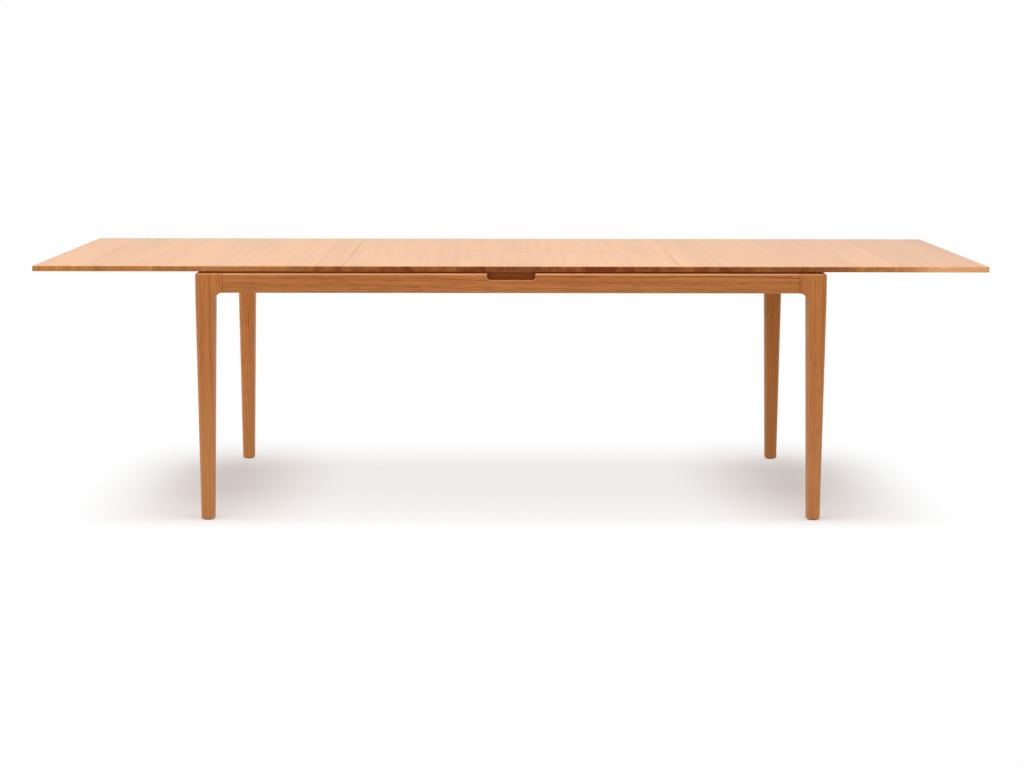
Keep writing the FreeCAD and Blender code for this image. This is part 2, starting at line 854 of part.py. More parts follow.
def right_bearing_plate():
    """The plate that both shafts turn in, with a boss at each."""
    y0 = shaft_places[0] - plate_margin
    y1 = shaft_places[1] + plate_margin
    plate = box(plate_inner, cross_rail_inner, y0, y1, shaft_level - plate_foot, cross_rail_top)
    bosses = [rod(plate_boss_radius, V(plate_inner - plate_boss_length, y, shaft_level), X_WAY,
                  plate_boss_length) for y in shaft_places]
    start = plate_inner - plate_boss_length - overrun
    reach = plate_boss_length + plate_thickness + 2 * overrun
    bores = [rod(arm_shaft_radius + joint_room, V(start, y, shaft_level), X_WAY, reach)
             for y in shaft_places]
    return with_holes(plate.fuse(bosses).cut(bores), plate_screws())


def bracket_screws():
    """Screws up through the right leaf bracket into the leaf."""
    middle_x = (cheek_outer_x + cheek_inner_x + bracket_flange) / 2
    beyond = bracket_margin / 2
    places = (pivot_places[0] - beyond, sum(pivot_places) / 2, pivot_places[1] + beyond)
    level = top_under - bracket_thickness
    return [(V(middle_x, y, level), Z_WAY, bracket_screw_length) for y in places]


def right_leaf_bracket():
    """An angle under the leaf, with an ear at each pivot."""
    y0 = pivot_places[0] - bracket_margin
    y1 = pivot_places[1] + bracket_margin
    under = top_under - bracket_thickness
    flange = box(cheek_inner_x, cheek_inner_x + bracket_flange, y0, y1, under, top_under)
    ears = []
    for y in pivot_places:
        ear = box(cheek_inner_x, cheek_outer_x, y - bracket_ear_radius, y + bracket_ear_radius,
                  pivot_level, under)
        ears.append(ear.fuse(rod(bracket_ear_radius, V(cheek_inner_x, y, pivot_level), X_WAY,
                                 bracket_thickness)))
    holes = [rod(pivot_pin_radius + joint_room, V(cheek_inner_x - overrun, y, pivot_level), X_WAY,
                 bracket_thickness + 2 * overrun) for y in pivot_places]
    return with_holes(flange.fuse(ears).cut(holes).removeSplitter(), bracket_screws())


def right_pivot_pins():
    """The headed pins that the arms turn on."""
    pins = []
    start = arm_inner_x - slide_room
    for y in pivot_places:
        pin = rod(pivot_pin_radius, V(start, y, pivot_level), X_WAY, cheek_outer_x - start)
        head = rod(pivot_head_radius, V(start, y, pivot_level), -X_WAY, pivot_head_height)
        pins.append(pin.fuse(head))
    return pins


# All pieces by name

def both_sides(shapes):
    """Pieces at the right end and their copies at the left end."""
    return shapes + [mirror_x(shape) for shape in shapes]


def all_pieces():
    pieces = {}
    leg = back_right_leg()
    pieces["back_right_leg"] = leg
    pieces["back_left_leg"] = mirror_x(leg)
    pieces["front_right_leg"] = mirror_y(leg)
    pieces["front_left_leg"] = mirror_x(mirror_y(leg))
    feet = both_sides([glide(), mirror_y(glide())])
    pieces["floor_glides"] = Part.makeCompound(feet)

    pieces["front_apron"] = mirror_y(long_apron_holes(mirror_y(front_apron())))
    pieces["back_apron"] = long_apron_holes(long_apron())
    pieces["right_apron"] = end_apron()
    pieces["left_apron"] = mirror_x(end_apron())

    pieces["back_rail"] = back_rail()
    pieces["front_rail"] = front_rail()
    screws = screw_group(rail_screws())
    pieces["rail_screws"] = Part.makeCompound([screws, mirror_y(screws)])
    pieces["rail_pads"] = rail_pads()
    pieces["end_pads"] = end_pads()
    stops = both_sides([bumper(), mirror_y(bumper())])
    pieces["runner_bumpers"] = Part.makeCompound(stops)

    cross_rail = right_cross_rail()
    left_screws = [turned_screw(one) for one in bearer_screws()]
    pieces["right_cross_rail"] = cross_rail
    pieces["left_cross_rail"] = mirror_x(cross_rail)
    pieces["gear_bearer"] = gear_bearer()
    pieces["bearer_screws"] = screw_group(bearer_screws() + left_screws)
    guide = back_rack_guide()
    pieces["back_rack_guide"] = guide
    pieces["front_rack_guide"] = half_turn(guide)
    pieces["guide_screws"] = screw_group(guide_screws() + [turned_screw(one) for one in guide_screws()])
    pieces["pinion_axle"] = pinion_axle()
    pieces["drive_pinion"] = drive_pinion()

    plate = right_bearing_plate()
    pieces["right_bearing_plate"] = plate
    pieces["left_bearing_plate"] = mirror_x(plate)
    pieces["plate_screws"] = Part.makeCompound(both_sides([screw_group(plate_screws())]))
    for name, shaft_y, pivot_y in zip(("front", "rear"), shaft_places, pivot_places):
        arm = right_arm(shaft_y, pivot_y)
        pieces[name + "_right_arm"] = arm
        pieces[name + "_left_arm"] = mirror_x(arm)
        pieces[name + "_arm_shaft"] = arm_shaft(shaft_y)

    runner = back_runner()
    runner_fixings = screw_group(runner_screws() + mirrored_screws(runner_screws()))
    pieces["right_top_panel"] = top_panel(block_screws())
    pieces["left_top_panel"] = mirror_x(top_panel(across_pinion(block_screws())))
    for name, place in (("right", same_place), ("left", mirror_x)):
        pieces[name + "_back_runner"] = place(runner)
        pieces[name + "_front_runner"] = place(mirror_y(runner))
        pieces[name + "_runner_screws"] = place(runner_fixings)
    for name, place in (("right", same_place), ("left", half_turn)):
        pieces[name + "_rack"] = place(right_rack())
        pieces[name + "_rack_block"] = place(right_rack_block())
        pieces[name + "_rack_screws"] = place(screw_group(block_screws()))

    bracket_fixings = both_sides([screw_group(bracket_screws())])
    leaf_half_panel = leaf_panel()
    bracket = right_leaf_bracket()
    holed = with_holes(leaf_half_panel, bracket_screws())
    holed = mirror_x(with_holes(mirror_x(holed), bracket_screws()))
    pieces["leaf_back_panel"] = holed
    pieces["leaf_front_panel"] = mirror_y(leaf_half_panel)
    pieces["leaf_back_hinges"] = Part.makeCompound(hinge_cups(0))
    pieces["leaf_front_hinges"] = mirror_y(Part.makeCompound(hinge_cups(1)))
    pieces["right_leaf_bracket"] = bracket
    pieces["left_leaf_bracket"] = mirror_x(bracket)
    pieces["leaf_bracket_screws"] = Part.makeCompound(bracket_fixings)
    pieces["leaf_pivot_pins"] = Part.makeCompound(both_sides(right_pivot_pins()))
    return pieces


os.makedirs("parts", exist_ok=True)
for piece_name, piece in all_pieces().items():
    piece.exportStep("parts/" + piece_name + ".step")
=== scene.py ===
import json
import math
from collections import namedtuple

import bmesh
import bpy
from mathutils import Matrix, Vector

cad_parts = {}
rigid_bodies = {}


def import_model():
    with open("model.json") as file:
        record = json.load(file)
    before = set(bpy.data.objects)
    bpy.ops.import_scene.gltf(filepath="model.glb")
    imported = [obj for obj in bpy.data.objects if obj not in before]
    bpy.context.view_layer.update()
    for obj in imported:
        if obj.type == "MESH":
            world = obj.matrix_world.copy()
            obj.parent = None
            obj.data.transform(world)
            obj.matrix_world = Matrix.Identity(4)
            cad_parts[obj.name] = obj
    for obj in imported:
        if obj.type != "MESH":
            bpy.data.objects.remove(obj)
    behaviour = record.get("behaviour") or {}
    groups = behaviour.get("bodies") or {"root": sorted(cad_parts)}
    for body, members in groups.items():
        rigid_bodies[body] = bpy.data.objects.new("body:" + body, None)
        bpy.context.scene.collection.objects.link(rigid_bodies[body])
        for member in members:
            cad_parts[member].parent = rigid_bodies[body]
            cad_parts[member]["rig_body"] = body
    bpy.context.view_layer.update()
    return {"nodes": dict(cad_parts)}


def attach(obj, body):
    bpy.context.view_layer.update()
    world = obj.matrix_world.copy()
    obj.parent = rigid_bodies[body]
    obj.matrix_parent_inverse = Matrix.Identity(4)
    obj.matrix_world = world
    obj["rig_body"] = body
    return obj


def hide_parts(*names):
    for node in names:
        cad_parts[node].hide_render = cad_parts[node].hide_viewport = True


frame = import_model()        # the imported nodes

# An extending dining table in lacquered cherry, opened with its folding leaf in place.
# Metres, in the same frame as the solids: +X along the table, +Y to the back, +Z up.
# A fade or a band is a pair of values: where it starts and where it is complete.

# Camera, with angles in degrees
CAMERA_PLACE = (-0.0223, -6.517, 1.3271)
CAMERA_DIP = 5.229
CAMERA_TURN = -0.234
CAMERA_ROLL = 0.1
CAMERA_LENS = 71.86
CAMERA_SHIFT_UP = -0.12

# Floor
FLOOR_HALF = 40.0
FLOOR_GREY = 0.88
FLOOR_SEEN_GREY = 0.74
FLOOR_GLOW = 0.33
SHADOW_SIDE_FADE = (1.4, 0.88)
# The middle fade mixes white glow into the shadow under the table's middle: painted light
SHADOW_MIDDLE_FADE = (0.98, 0.5)
SHADOW_MIDDLE_SHARE = 0.65
SHADOW_FRONT_FADE = (-0.64, -0.48)
SHADOW_BACK_FADE = (1.0, 0.25)

# Light. A softbox has a name, a place, a size, a power in watts and a point to face.
# The last value says whether it shows in reflections.
WHITE = (1, 1, 1, 1)
SKY_LEVEL = 0.22
SOFTBOXES = (
    ("top_softbox", (-0.2, -0.5, 3.3), (4.8, 3.6), 116.0, (-0.2, -0.5, 0.0), True),
    ("front_softbox", (-1.0, -7.6, 2.4), (11.0, 4.6), 160.0, (0.0, 0.0, 0.3), False),
    ("left_softbox", (-5.4, -1.0, 1.9), (3.6, 3.2), 34.0, (0.0, 0.0, 0.4), False),
    ("right_softbox", (5.4, -1.0, 1.9), (3.6, 3.2), 23.0, (0.0, 0.0, 0.4), False),
    ("back_softbox", (0.6, 6.8, 1.9), (8.0, 3.4), 40.0, (0.0, 0.0, 0.4), False),
)

# Joints in the wood. A joint is an axis, a distance from the middle of the table,
# how far its eased edge reaches and how dark it is.
LEAF_SEAM = ("X", 0.5, 0.001, 0.5)
FOLD_SEAM = ("Y", 0.0, 0.0028, 0.8)
LONG_JOINT = ("X", 0.852, 0.0012, 0.6)
END_JOINT = ("Y", 0.4365, 0.0012, 0.6)
LEG_JOINTS = (LONG_JOINT, END_JOINT)

# Glued boards
TOP_BOARD = 0.115
BOARD_UNEVENNESS = 0.8
BOARD_SHIFT = 37.0
GLUE_LINE = 0.0003

# Marks in the wood: how many in a metre along and across the grain, a shift that keeps the kinds
# apart, the noise's detail and roughness, and for clear marks the band of noise where they show
Mark = namedtuple("Mark", "along across shift detail roughness band", defaults=(None,))
FIBRE = Mark(9.0, 420.0, 3.0, 3.0, 0.6)
PORES = Mark(70.0, 1500.0, 5.0, 1.0, 0.5, (0.66, 0.76))
DASHES = Mark(26.0, 300.0, 29.0, 2.0, 0.6)
GUM_STREAKS = Mark(5.0, 150.0, 11.0, 1.0, 0.5, (0.74, 0.8))
CLOUDS = Mark(2.2, 9.0, 17.0, 2.0, 0.5)
MOTTLE = Mark(1.0, 34.0, 41.0, 3.0, 0.6)
RED_BANDS = Mark(1.6, 60.0, 23.0, 2.0, 0.5, (0.35, 0.7))
RING_WANDER = Mark(0.9, 7.0, 0.0, 2.0, 0.5)

# Growth rings. The heart of the tree lies below a board, at a place by chance.
# Pieces that aren't glued from boards have flat layers, leaning by three slopes.
RINGS_PER_METRE = 260.0
RING_DETAIL = 2.0
RING_BAND = (0.38, 0.7)
RING_WANDER_REACH = 0.05
HEART_SIDE_CHANCE = 0.5
HEART_BELOW = 0.9
HEART_BELOW_CHANCE = 0.16
HEART_LEAN = 0.02
LAYERS_ACROSS = 0.8
LAYERS_THROUGH = 0.6
LAYERS_ALONG = 0.012

# Faces of the wood, told apart by the way that they face
ROUNDED_EDGE_BAND = (0.98, 0.8)
END_GRAIN_BAND = (0.6, 0.92)

# Shares of each mark in the colour of cherry
RED_SHARE = 0.8
RING_SHARE = 0.4
FIBRE_SHARE = 0.5
DASH_SHARE = 1.1
PORE_SHARE = 0.25
GUM_SHARE = 0.4
GLUE_SHARE = 0.35
# Painted highlight on rounded edges
EDGE_HIGHLIGHT_SHARE = 0.16
DARKEST_SHADE = 0.89
CLOUD_SHADE = 0.22
BOARD_SHADE = 0.12

# Painted light: the legs get paler towards their feet, standing in for light bounced up from the floor
FOOT_LIGHT_FADE = (0.62, 0.0)
FOOT_LIGHT_SHARE = 0.26

# Dark end grain: of a plain piece, and of the top's boards, which get paler to the left and the right as
# painted light, leaving the middle darker as painted shade
PLAIN_END = 0.1
PLAIN_END_FIBRE = 0.3
BOARD_END = 0.74
BOARD_END_CHANCE = 0.2
BOARD_END_MOTTLE = 0.9
LEFT_PAINTED_LIGHT_FADE = (0.1, 1.2)
LEFT_PAINTED_LIGHT_SHARE = 0.55
RIGHT_PAINTED_LIGHT_FADE = (0.86, 1.02)
RIGHT_PAINTED_LIGHT_SHARE = 0.38
RIGHT_END_PALE_FADE = (1.1, 1.27)
RIGHT_END_PALE_SHARE = 0.8

# Surface of cherry
FIBRE_ROUGHNESS = 0.1
END_ROUGHNESS = 0.4
EDGE_GLOSS = 0.05
FIBRE_RELIEF = 0.6
RING_RELIEF = 0.25
PORE_RELIEF = 0.8
LACQUER_IOR = 1.48
LACQUER_ROUGHNESS = 0.2
LEG_EDGE_LACQUER = 0.3

# Surface of maple
MAPLE_ROUGHNESS = 0.5
MAPLE_FIBRE_ROUGHNESS = 0.14
MAPLE_RELIEF = 0.0001
MAPLE_IOR = 1.45

# Metals: brushed lines, dull patches and worn edges
BRUSH_DETAIL = 3.0
BRUSH_SHARE = 0.5
BRUSH_ROUGHNESS = 0.25
BRUSH_DEPTH = 0.00005
BRUSH_STRENGTH = 0.6
PATCHES_PER_METRE = 60.0
PATCH_DETAIL = 4.0
PATCH_BAND = (0.4, 0.75)
PATCH_SHARE = 0.6
PATCH_ROUGHNESS = 0.12
WORN_SHARE = 0.6
METAL_UNEVENNESS = 0.6

# Felt: hairs in a metre along and across their length, and through the pad
HAIRS_ALONG = 900.0
HAIRS_ACROSS = 2600.0
HAIRS_THROUGH = 1800.0
HAIR_DETAIL = 4.0
HAIR_UNEVENNESS = 0.7
HAIR_BAND = (0.4, 0.75)

# Screws
HEAD_RIM_SHARE = 0.9
RECESS_HALF = 0.00045
RECESS_REACH_SHARE = 0.6
RECESS_DEPTH = 0.0015
RECESS_FOOT_SHARE = 0.45
HEAD_RIM = 0.0003
THREAD_PITCH = 0.002
THREAD_STEPS = 6
THREAD_START_SHARE = 0.35
THREAD_ROOT_SHARE = 0.68
RIDGE_MIDDLE = 0.5
RIDGE_HALF = 0.3
POINT_LENGTH = 0.005

# Pads and stops. A profile gives radius and height as shares, from the foot up.
PAD_COLUMNS = 32
PAD_WAVE_SHARE = 0.012
PAD_WAVES = (5, 3)
PAD_WAVE_SHIFTS = (90, 70)
FELT_PROFILE = ((0.97, 0.0), (1.0, 0.12), (1.0, 0.7), (0.975, 0.88), (0.9, 0.98), (0.5, 1.0))
STOP_PROFILE = ((0.9, 0.0), (1.0, 0.1), (1.0, 0.4), (0.94, 0.62), (0.8, 0.82), (0.55, 0.94), (0.25, 0.98))

# New pieces: points closer than this are one, and edges sharper than these degrees stay sharp
WELD = 0.000002
SCREW_SHARP = 35
PAD_SHARP = 60
FLOOR_SHARP = 30

# The curve between screen colours and light
CURVE_KNEE = 0.04045
CURVE_SLOPE = 12.92
CURVE_SHIFT = 0.055
CURVE_POWER = 2.4
SCREEN_WHITE = 255

# The middle of a noise that runs from 0 to 1
NOISE_MIDDLE = 0.5


class Wire:
    """A node's output. Arithmetic on it adds Math nodes to the same finish."""

    def __init__(self, finish, socket):
        self.finish = finish
        self.socket = socket

    def out(self, name):
        """Another output of the same node."""
        return Wire(self.finish, self.socket.node.outputs[name])

    def math(self, operation, *values):
        """A Math node on these values or wires."""
        return self.finish.node("Math", {"operation": operation}, dict(enumerate(values)))

    def centred(self):
        """Noise moved so that its middle is 0."""
        return self - NOISE_MIDDLE

    def __add__(self, other):
        return self.math("ADD", self, other)

    def __sub__(self, other):
        return self.math("SUBTRACT", self, other)

    def __rsub__(self, other):
        return self.math("SUBTRACT", other, self)

    def __mul__(self, other):
        return self.math("MULTIPLY", self, other)

    def __pow__(self, power):
        return self.math("POWER", self, power)

    def __abs__(self):
        return self.math("ABSOLUTE", self)

    __radd__ = __add__


class Finish:
    """The nodes of one material, or of the world's light."""

    def __init__(self, owner):
        owner.use_nodes = True
        self.owner = owner
        self.tree = owner.node_tree
        self.tree.nodes.clear()

    def node(self, kind, settings=None, inputs=None):
        """Add a node from its type, its settings, and the values or wires of its sockets."""
        made = self.tree.nodes.new("ShaderNode" + kind)
        for name, value in (settings or {}).items():
            setattr(made, name, value)
        usable = [socket for socket in made.inputs if socket.enabled]
        named = {socket.name: socket for socket in reversed(usable)}
        for key, value in (inputs or {}).items():
            socket = usable[key] if isinstance(key, int) else named[key]
            if isinstance(value, Wire):
                self.tree.links.new(value.socket, socket)
            else:
                socket.default_value = value
        return Wire(self, next((socket for socket in made.outputs if socket.enabled), None))

    def mix(self, share, first, second, way="MIX"):
        """Blend two colours."""
        return self.node("Mix", {"data_type": "RGBA", "blend_type": way},
                         {"Factor": share, "A": first, "B": second})

    def noise(self, place, detail, roughness=0.5):
        """Noise at places that are scaled already."""
        return self.node("TexNoise", {}, {"Vector": place, "Scale": 1.0, "Detail": detail,
                                          "Roughness": roughness})

    def grains(self, per_metre, detail, roughness=0.5):
        """Noise of so many grains in a metre, alike in all directions."""
        place = self.node("VectorMath", {"operation": "SCALE"},
                          {"Vector": self.place(), "Scale": per_metre})
        return self.noise(place, detail, roughness)

    def rise(self, value, start, end):
        """0 before start, 1 past end, smooth between."""
        return self.node("MapRange", {"interpolation_type": "SMOOTHSTEP"},
                         {"Value": value, "From Min": start, "From Max": end})

    def point(self, x, y, z):
        """A vector from its three parts."""
        return self.node("CombineXYZ", {}, {"X": x, "Y": y, "Z": z})

    def split(self, vector):
        """The three parts of a vector."""
        parts = self.node("SeparateXYZ", {}, {"Vector": vector})
        return [parts.out(axis) for axis in "XYZ"]

    def place(self):
        """Where a point is on its piece, in the shared frame at rest."""
        return self.node("TexCoord").out("Object")

    def facing(self):
        """Which way the surface faces, in the shared frame at rest, without signs."""
        return [abs(part) for part in self.split(self.node("TexCoord").out("Normal"))]

    def edge(self):
        """1 on rounded edges and 0 on flat faces."""
        x, y, z = self.facing()
        return self.rise(x.math("MAXIMUM", x.math("MAXIMUM", x, y), z), *ROUNDED_EDGE_BAND)

    def bump(self, height, depth, strength=1.0):
        """A relief, as a normal."""
        return self.node("Bump", {}, {"Height": height, "Distance": depth, "Strength": strength})

    def surface(self, **sockets):
        """End the material in one Principled shader. Underscores in names stand for spaces."""
        named = {name.replace("_", " "): value for name, value in sockets.items()}
        shader = self.node("BsdfPrincipled", {}, named)
        self.node("OutputMaterial", {}, {"Surface": shader})
        return self.owner


def new_finish(name):
    """A new material, ready for its nodes."""
    return Finish(bpy.data.materials.new(name))


def paint(red, green, blue):
    """A colour written in 0 to 255, as shader numbers."""
    def linear(value):
        value = value / SCREEN_WHITE
        if value <= CURVE_KNEE:
            return value / CURVE_SLOPE
        return ((value + CURVE_SHIFT) / (1 + CURVE_SHIFT)) ** CURVE_POWER
    return (linear(red), linear(green), linear(blue), 1.0)


def grey(level):
    """A grey in shader numbers."""
    return (level, level, level, 1)


# Tones. Those of cherry are the pale wood, the red bands, the brown marks and the dark end grain.
TOP_TONES = (paint(216, 150, 80), paint(208, 136, 66), paint(175, 104, 45), paint(118, 46, 0))
FRAME_TONES = (paint(200, 126, 62), paint(190, 110, 50), paint(142, 76, 30), paint(112, 56, 20))
# Paler and darker copies of the legs' cherry for the back left and back right legs: partly tone that differs
# from leg to leg, partly painted light on the back left leg and painted shade on the back right one
PALE_LEG_TONES_PAINTED_LIGHT = (paint(246, 168, 90), paint(236, 148, 76), paint(184, 106, 48), paint(122, 62, 22))
DARK_LEG_TONES_PAINTED_SHADE = (paint(208, 136, 56), paint(200, 120, 44), paint(150, 84, 28), paint(112, 56, 18))
# The rails' cherry is darker than the frame's: partly its own darker tone, partly painted shade for the
# finger notch and the gap under the top
RAIL_TONES_DARKENED_FOR_SHADE = (paint(168, 90, 22), paint(158, 80, 17), paint(118, 55, 9), paint(88, 43, 5))
# The pale tone of the painted floor bounce on the legs' feet
FOOT_LIGHT_TONE = paint(230, 168, 112)
# A paler tone for the end grain at the right end of the top
RIGHT_END_PALE_TONE = paint(255, 183, 128)

# Maple is one tone, with others laid over it by shares
MAPLE_TONE = paint(226, 193, 146)
MAPLE_OVER = {
    "rings": (0.4, paint(201, 158, 108)),
    "pores": (0.35, paint(160, 116, 72)),
    "clouds": (0.3, paint(214, 176, 124)),
    "ends": (0.5, paint(160, 118, 76)),
    # lighter rounded edges: partly rubbed wear, partly painted highlight
    "edges": (0.2, paint(240, 216, 178)),
}

# A metal has a bright tone, a dull one, a tone for worn edges, a roughness,
# and how many brushed lines there are in a metre of each axis
Metal = namedtuple("Metal", "bright dull worn rough lines")
MACHINED_STEEL = Metal(paint(196, 196, 198), paint(150, 150, 152), paint(226, 226, 226),
                       rough=0.3, lines=(500.0, 500.0, 60.0))
SATIN_STEEL = Metal(paint(176, 177, 180), paint(132, 133, 136), paint(214, 214, 216),
                    rough=0.36, lines=(40.0, 400.0, 400.0))
SATIN_BRASS = Metal(paint(222, 184, 110), paint(176, 136, 74), paint(240, 208, 140),
                    rough=0.3, lines=(300.0, 40.0, 300.0))
ZINC_PLATE = Metal(paint(206, 203, 190), paint(168, 162, 140), paint(228, 227, 220),
                   rough=0.34, lines=(700.0, 700.0, 700.0))

# A moulded stuff has a tone, a tone for marks of use, grains in a metre, marks in a metre,
# the marks' detail, unevenness and band, the grain's depth, a roughness and an index of refraction
Moulded = namedtuple("Moulded", "tone marked grains marks detail uneven band depth rough ior")
MARK_SHARE = 0.5
GRAIN_DETAIL = 3.0
GRAIN_ROUGHNESS = 0.2
NYLON = Moulded(paint(66, 55, 47), paint(112, 98, 86), grains=900.0, marks=120.0, detail=4.0,
                uneven=0.7, band=(0.5, 0.75), depth=0.00006, rough=0.42, ior=1.5)
RUBBER = Moulded(paint(22, 22, 22), paint(64, 62, 60), grains=1400.0, marks=160.0, detail=3.0,
                 uneven=0.5, band=(0.45, 0.8), depth=0.0001, rough=0.65, ior=1.5)

# Felt has a tone deep in its hairs and one on top of them
FELT_TONES = (paint(74, 58, 46), paint(132, 110, 92))
FELT_DEPTH = 0.0004
FELT_ROUGHNESS = 0.9
FELT_SHEEN = 0.5
FELT_SHEEN_ROUGHNESS = 0.5


class Timber:
    """Grain places and marks of one kind of wood, cut along one axis."""

    def __init__(self, name, grain, board=None):
        self.finish = new_finish(name)
        self.board = board
        self.axes = ["XYZ".index(axis) for axis in grain]
        self.parts = self.finish.split(self.finish.place())
        self.along, self.across, self.through = [self.parts[axis] for axis in self.axes]
        self.chances = self.board_chances() if board else None

    def boards(self, **settings):
        """The row of glued boards across the grain."""
        return self.finish.node("TexVoronoi", {"voronoi_dimensions": "1D", **settings},
                                {"W": self.across * (1 / self.board), "Scale": 1.0,
                                 "Randomness": BOARD_UNEVENNESS})

    def board_chances(self):
        """Three numbers by chance for each board."""
        colour = self.finish.node("SeparateColor", {}, {"Color": self.boards().out("Color")})
        return [colour.out(name) for name in ("Red", "Green", "Blue")]

    def glue_line(self):
        """1 on the hair lines between boards."""
        gap = self.boards(feature="DISTANCE_TO_EDGE")
        return self.finish.rise(gap * self.board, GLUE_LINE, GLUE_LINE / 2)

    def mark(self, kind):
        """One kind of mark: noise, or 0 to 1 where the kind has a band."""
        first = self.along * kind.along + kind.shift
        if self.chances:
            first = first + self.chances[0] * BOARD_SHIFT
        place = self.finish.point(first, self.across * kind.across, self.through * kind.across)
        noise = self.finish.noise(place, kind.detail, kind.roughness)
        return self.finish.rise(noise, *kind.band) if kind.band else noise

    def rings(self):
        """Growth rings, from 0 in the pale wood to 1 in the dark."""
        wander = self.mark(RING_WANDER).centred() * RING_WANDER_REACH
        if self.chances:
            side = self.across + self.chances[1].centred() * HEART_SIDE_CHANCE
            depth = self.through + self.chances[2] * HEART_BELOW_CHANCE - HEART_BELOW
            depth = depth + self.along * HEART_LEAN
            heart = (side * side + depth * depth) ** 0.5
        else:
            heart = self.across * LAYERS_ACROSS + self.through * LAYERS_THROUGH + self.along * LAYERS_ALONG
        ring = self.finish.node("TexNoise", {"noise_dimensions": "1D"},
                                {"W": (heart + wander) * RINGS_PER_METRE, "Scale": 1.0,
                                 "Detail": RING_DETAIL})
        return self.finish.rise(ring, *RING_BAND)

    def joints(self, lines):
        """How dark the eased edges of joints are."""
        shown = []
        for axis, place, reach, darkness in lines:
            away = abs(abs(self.parts["XYZ".index(axis)]) - place)
            shown.append(self.finish.rise(away, reach, reach / 2) * darkness)
        return sum(shown)

    def end_grain(self):
        """1 where the fibres are cut across."""
        return self.finish.rise(self.finish.facing()[self.axes[0]], *END_GRAIN_BAND)

    def board_ends(self, right_end_pale):
        """How dark the ends of the top's boards are, with painted light that makes them paler to the left
        and the right.
        """
        # painted light: the end grain gets paler towards both ends of the table
        left = self.finish.rise(self.across * -1.0, *LEFT_PAINTED_LIGHT_FADE)
        right = self.finish.rise(self.across, *RIGHT_PAINTED_LIGHT_FADE)
        tone = self.chances[2] * BOARD_END_CHANCE + BOARD_END - right * RIGHT_PAINTED_LIGHT_SHARE
        tone = tone + self.mark(MOTTLE).centred() * BOARD_END_MOTTLE
        return (tone - left * LEFT_PAINTED_LIGHT_SHARE) * (1 - right_end_pale)


def cherry(name, grain, tones, joints, board=None, gloss=0.42, figure=1.15, shine=0.3, depth=0.0001):
    """Lacquered cherry, from one piece or glued from boards."""
    pale, red, brown, dark = tones
    wood = Timber(name, grain, board)
    finish = wood.finish
    rings = wood.rings()
    fibre = wood.mark(FIBRE)
    pores = wood.mark(PORES)
    ends = wood.end_grain()
    edge = finish.edge()

    strokes = fibre.centred() * FIBRE_SHARE + wood.mark(DASHES).centred() * DASH_SHARE
    colour = finish.mix(wood.mark(RED_BANDS) * RED_SHARE, pale, red)
    colour = finish.mix((rings * RING_SHARE + strokes) * figure, colour, brown)
    colour = finish.mix(pores * PORE_SHARE * figure, colour, brown)
    colour = finish.mix(wood.mark(GUM_STREAKS) * GUM_SHARE * figure, colour, dark)
    shade = wood.mark(CLOUDS) * CLOUD_SHADE + DARKEST_SHADE
    lacquer = edge
    end_tone = PLAIN_END + fibre * PLAIN_END_FIBRE
    if grain[0] == "Z":
        # painted light: legs turn paler towards the foot, standing in for light bounced from the floor
        colour = finish.mix(finish.rise(wood.along, *FOOT_LIGHT_FADE) * FOOT_LIGHT_SHARE, colour, FOOT_LIGHT_TONE)
        lacquer = edge * LEG_EDGE_LACQUER
    if board:
        lacquer = 0.0
        shade = shade + wood.chances[1].centred() * BOARD_SHADE
        # the end grain turns paler towards the right end of the top
        right_end_pale = finish.rise(wood.across, *RIGHT_END_PALE_FADE)
        end_tone = wood.board_ends(right_end_pale)
        colour = finish.mix(ends * right_end_pale * RIGHT_END_PALE_SHARE, colour, RIGHT_END_PALE_TONE)
        colour = finish.mix(wood.glue_line() * GLUE_SHARE, colour, dark)
    colour = finish.mix(ends * end_tone, colour, dark)
    shading = finish.node("CombineColor", {}, {"Red": shade, "Green": shade, "Blue": shade})
    colour = finish.mix(1.0, colour, shading, "MULTIPLY")
    # painted highlight: rounded edges lightened towards the pale tone, as if catching the light
    colour = finish.mix(edge * EDGE_HIGHLIGHT_SHARE * (1 - ends), colour, pale, "SCREEN")
    colour = finish.mix(wood.joints(joints), colour, dark)

    roughness = gloss + fibre.centred() * FIBRE_ROUGHNESS * figure + ends * END_ROUGHNESS - edge * EDGE_GLOSS
    relief = finish.bump(fibre * FIBRE_RELIEF + rings * RING_RELIEF - pores * PORE_RELIEF, depth)
    return finish.surface(Base_Color=colour, Roughness=roughness, Normal=relief, IOR=LACQUER_IOR,
                          Specular_IOR_Level=shine, Coat_Weight=lacquer, Coat_Roughness=LACQUER_ROUGHNESS)


def maple(name, grain):
    """Oiled maple, for the parts under the top."""
    wood = Timber(name, grain)
    finish = wood.finish
    fibre = wood.mark(FIBRE)
    shown = {"rings": wood.rings(), "pores": wood.mark(PORES), "clouds": wood.mark(CLOUDS),
             "ends": wood.end_grain(), "edges": finish.edge()}
    colour = MAPLE_TONE
    for layer, (share, tone) in MAPLE_OVER.items():
        colour = finish.mix(shown[layer] * share, colour, tone)
    roughness = MAPLE_ROUGHNESS + fibre * MAPLE_FIBRE_ROUGHNESS
    relief = finish.bump(fibre, MAPLE_RELIEF)
    return finish.surface(Base_Color=colour, Roughness=roughness, Normal=relief, IOR=MAPLE_IOR)


